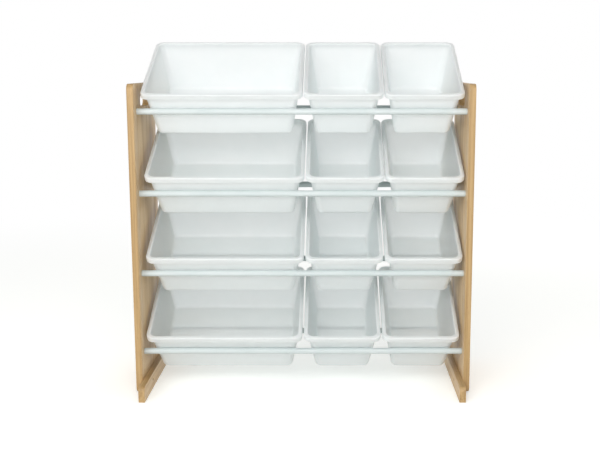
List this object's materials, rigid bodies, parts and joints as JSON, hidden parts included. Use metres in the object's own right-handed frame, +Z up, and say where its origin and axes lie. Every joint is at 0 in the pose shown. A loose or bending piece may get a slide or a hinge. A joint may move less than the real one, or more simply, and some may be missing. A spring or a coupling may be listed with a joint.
{
  "type": "toy organizer",
  "caption": "Free-standing toy organizer: wooden side panels on foot rails, joined by rows of tubes that carry open, forward-leaning bins.",
  "frame": {"origin": "on the floor, midway between the side panels and halfway along the foot rails", "axes": "+X to the right as seen from the front, +Y to the rear, +Z up"},
  "size_m": [0.859, 0.372, 0.904],
  "materials": {
    "side_board": "satin clear coat",
    "tube": "white gloss paint",
    "bin": "moulded white, slightly see-through",
    "plug": "moulded, dull",
    "fastener": "zinc plated",
    "dowel": "bare"
  },
  "bodies": {
    "frame": {"left_side_panel": "side_board", "left_foot_rail": "side_board", "left_tube_plugs": "plug", "left_tube_bolts": "fastener", "left_foot_screws": "fastener", "left_foot_dowels": "dowel", "right_side_panel": "side_board", "right_foot_rail": "side_board", "right_tube_plugs": "plug", "right_tube_bolts": "fastener", "right_foot_screws": "fastener", "right_foot_dowels": "dowel", "row_1_front_tube": "tube", "row_1_rear_tube": "tube", "row_2_front_tube": "tube", "row_2_rear_tube": "tube", "row_3_front_tube": "tube", "row_3_rear_tube": "tube", "row_4_front_tube": "tube", "row_4_rear_tube": "tube"},
    "row_1_wide_bin_body": {"row_1_wide_bin": "bin"},
    "row_1_middle_bin_body": {"row_1_middle_bin": "bin"},
    "row_1_right_bin_body": {"row_1_right_bin": "bin"},
    "row_2_wide_bin_body": {"row_2_wide_bin": "bin"},
    "row_2_middle_bin_body": {"row_2_middle_bin": "bin"},
    "row_2_right_bin_body": {"row_2_right_bin": "bin"},
    "row_3_wide_bin_body": {"row_3_wide_bin": "bin"},
    "row_3_middle_bin_body": {"row_3_middle_bin": "bin"},
    "row_3_right_bin_body": {"row_3_right_bin": "bin"},
    "row_4_wide_bin_body": {"row_4_wide_bin": "bin"},
    "row_4_middle_bin_body": {"row_4_middle_bin": "bin"},
    "row_4_right_bin_body": {"row_4_right_bin": "bin"}
  },
  "joints": [
    {"name": "row_1_wide_lift", "type": "slide", "parent": "frame", "child": "row_1_wide_bin_body", "axis": [0, 0, 1], "range_m": [0, 0.24]},
    {"name": "row_1_middle_lift", "type": "slide", "parent": "frame", "child": "row_1_middle_bin_body", "axis": [0, 0, 1], "range_m": [0, 0.24]},
    {"name": "row_1_right_lift", "type": "slide", "parent": "frame", "child": "row_1_right_bin_body", "axis": [0, 0, 1], "range_m": [0, 0.24]},
    {"name": "row_2_wide_tip", "type": "hinge", "parent": "frame", "child": "row_2_wide_bin_body", "pos_m": [-0.196, 0.105, 0.52], "axis": [-1, 0, 0], "range_deg": [0, 27]},
    {"name": "row_2_middle_tip", "type": "hinge", "parent": "frame", "child": "row_2_middle_bin_body", "pos_m": [0.1086, 0.105, 0.52], "axis": [-1, 0, 0], "range_deg": [0, 27]},
    {"name": "row_2_right_tip", "type": "hinge", "parent": "frame", "child": "row_2_right_bin_body", "pos_m": [0.3094, 0.105, 0.52], "axis": [-1, 0, 0], "range_deg": [0, 27]},
    {"name": "row_3_wide_tip", "type": "hinge", "parent": "frame", "child": "row_3_wide_bin_body", "pos_m": [-0.1983, 0.105, 0.313], "axis": [-1, 0, 0], "range_deg": [0, 27]},
    {"name": "row_3_middle_tip", "type": "hinge", "parent": "frame", "child": "row_3_middle_bin_body", "pos_m": [0.1067, 0.105, 0.313], "axis": [-1, 0, 0], "range_deg": [0, 27]},
    {"name": "row_3_right_tip", "type": "hinge", "parent": "frame", "child": "row_3_right_bin_body", "pos_m": [0.3093, 0.105, 0.313], "axis": [-1, 0, 0], "range_deg": [0, 27]},
    {"name": "row_4_wide_tip", "type": "hinge", "parent": "frame", "child": "row_4_wide_bin_body", "pos_m": [-0.2034, 0.105, 0.106], "axis": [-1, 0, 0], "range_deg": [0, 27]},
    {"name": "row_4_middle_tip", "type": "hinge", "parent": "frame", "child": "row_4_middle_bin_body", "pos_m": [0.1018, 0.105, 0.106], "axis": [-1, 0, 0], "range_deg": [0, 27]},
    {"name": "row_4_right_tip", "type": "hinge", "parent": "frame", "child": "row_4_right_bin_body", "pos_m": [0.305, 0.105, 0.106], "axis": [-1, 0, 0], "range_deg": [0, 27]}
  ]
}
